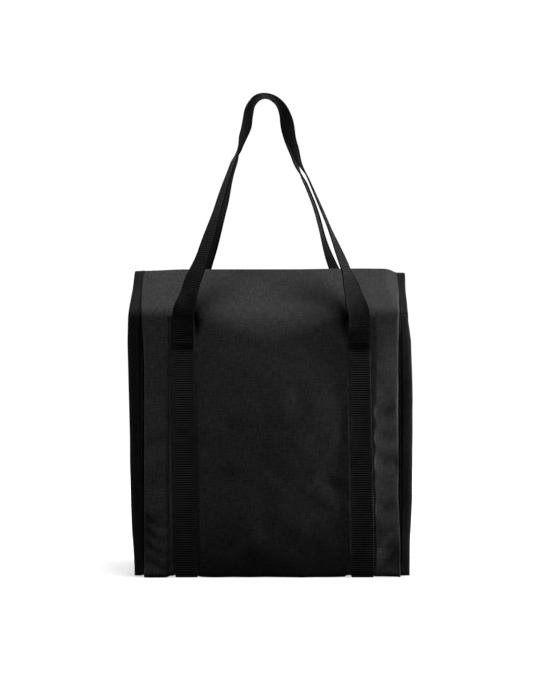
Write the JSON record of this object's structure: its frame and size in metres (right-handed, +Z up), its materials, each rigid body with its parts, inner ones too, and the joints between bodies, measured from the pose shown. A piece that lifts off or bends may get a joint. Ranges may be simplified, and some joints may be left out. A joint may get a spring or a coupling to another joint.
{
  "type": "cooler bag",
  "caption": "Insulated zip-top cooler tote with a gabled lid, bound side seams, folded gussets, sewn webbing straps and two carrying handles.",
  "frame": {"origin": "centre of the base on the floor", "axes": "+Z up, +X to the right seen from the front, -Y out of the front panel"},
  "size_m": [0.3186, 0.2072, 0.5565],
  "materials": {
    "nylon": "matt woven polyester",
    "gusset_cloth": "matt woven polyester",
    "binding": "ribbed binding tape",
    "webbing": "ribbed polypropylene webbing",
    "thread": "polyester thread",
    "foam": "closed-cell foam",
    "foil": "satin metallised lining",
    "board": "matt",
    "zip_tape": "woven tape",
    "zip_chain": "satin",
    "zip_metal": "satin black"
  },
  "bodies": {
    "bag": {"front_panel": "nylon", "back_panel": "nylon", "base_panel": "nylon", "left_gusset": "gusset_cloth", "right_gusset": "gusset_cloth", "front_foam": "foam", "back_foam": "foam", "base_foam": "foam", "left_foam": "foam", "right_foam": "foam", "front_liner": "foil", "back_liner": "foil", "base_liner": "foil", "left_liner": "foil", "right_liner": "foil", "base_board": "board", "left_strap": "webbing", "right_strap": "webbing", "left_base_binding": "binding", "right_base_binding": "binding", "front_left_binding": "binding", "front_left_stitches": "thread", "front_right_binding": "binding", "front_right_stitches": "thread", "back_left_binding": "binding", "back_left_stitches": "thread", "back_right_binding": "binding", "back_right_stitches": "thread"},
    "front_lid": {"front_flap": "nylon", "front_flap_foam": "foam", "front_flap_liner": "foil", "front_flap_left_binding": "binding", "front_flap_right_binding": "binding", "front_zip_tape": "zip_tape", "front_zip_chain": "zip_chain"},
    "back_lid": {"back_flap": "nylon", "back_flap_foam": "foam", "back_flap_liner": "foil", "back_flap_left_binding": "binding", "back_flap_right_binding": "binding", "back_zip_tape": "zip_tape", "back_zip_chain": "zip_chain"},
    "slider": {"zip_slider": "zip_metal"},
    "pull": {"zip_pull": "zip_metal"},
    "left_fold": {"left_tuck": "gusset_cloth"},
    "right_fold": {"right_tuck": "gusset_cloth"},
    "front_left_corner": {"front_left_web": "gusset_cloth"},
    "front_right_corner": {"front_right_web": "gusset_cloth"},
    "back_left_corner": {"back_left_web": "gusset_cloth"},
    "back_right_corner": {"back_right_web": "gusset_cloth"},
    "front_loop": {"front_handle": "webbing"},
    "back_loop": {"back_handle": "webbing"}
  },
  "joints": [
    {"name": "lid_front", "type": "hinge", "parent": "bag", "child": "front_lid", "pos_m": [0, -0.09, 0.3], "axis": [1, 0, 0], "range_deg": [0, 42]},
    {"name": "lid_back", "type": "hinge", "parent": "bag", "child": "back_lid", "pos_m": [0, 0.09, 0.3], "axis": [-1, 0, 0], "range_deg": [0, 42]},
    {"name": "zip_slide", "type": "slide", "parent": "back_lid", "child": "slider", "axis": [1, 0, 0], "range_m": [0, 0.2555]},
    {"name": "pull_swing", "type": "hinge", "parent": "slider", "child": "pull", "pos_m": [-0.135, 0, 0.34853], "axis": [0, -1, 0], "range_deg": [0, 180]},
    {"name": "fold_left", "type": "hinge", "parent": "bag", "child": "left_fold", "pos_m": [-0.1433, 0, 0.2983], "axis": [0, -1, 0], "range_deg": [0, 28.6]},
    {"name": "fold_right", "type": "hinge", "parent": "bag", "child": "right_fold", "pos_m": [0.1433, 0, 0.2983], "axis": [0, 1, 0], "range_deg": [0, 28.6]},
    {"name": "handle_front", "type": "hinge", "parent": "bag", "child": "front_loop", "pos_m": [0, -0.0929, 0.295], "axis": [1, 0, 0], "range_deg": [0, 160]},
    {"name": "handle_back", "type": "hinge", "parent": "bag", "child": "back_loop", "pos_m": [0, 0.0929, 0.295], "axis": [-1, 0, 0], "range_deg": [0, 160]},
    {"name": "corner_front_left", "type": "hinge", "parent": "front_lid", "child": "front_left_corner", "pos_m": [-0.145, -0.08613, 0.29381], "axis": [0, 0.848, 0.5299], "range_deg": [0, 33.1], "deforming": ["front_left_web"]},
    {"name": "corner_front_right", "type": "hinge", "parent": "front_lid", "child": "front_right_corner", "pos_m": [0.145, -0.08613, 0.29381], "axis": [0, -0.848, -0.5299], "range_deg": [0, 33.1], "deforming": ["front_right_web"]},
    {"name": "corner_back_left", "type": "hinge", "parent": "back_lid", "child": "back_left_corner", "pos_m": [-0.145, 0.08613, 0.29381], "axis": [0, 0.848, -0.5299], "range_deg": [0, 33.1], "deforming": ["back_left_web"]},
    {"name": "corner_back_right", "type": "hinge", "parent": "back_lid", "child": "back_right_corner", "pos_m": [0.145, 0.08613, 0.29381], "axis": [0, -0.848, 0.5299], "range_deg": [0, 33.1], "deforming": ["back_right_web"]}
  ],
  "couplings": [
    {"joint": "lid_back", "follows": "lid_front", "ratio": 1},
    {"joint": "zip_slide", "follows": "lid_front", "m_per_rad": 0.34787},
    {"joint": "fold_left", "follows": "lid_front", "ratio": 0.679},
    {"joint": "fold_right", "follows": "lid_front", "ratio": 0.679},
    {"joint": "corner_front_left", "follows": "lid_front", "ratio": 0.786},
    {"joint": "corner_front_right", "follows": "lid_front", "ratio": 0.786},
    {"joint": "corner_back_left", "follows": "lid_front", "ratio": 0.786},
    {"joint": "corner_back_right", "follows": "lid_front", "ratio": 0.786}
  ]
}
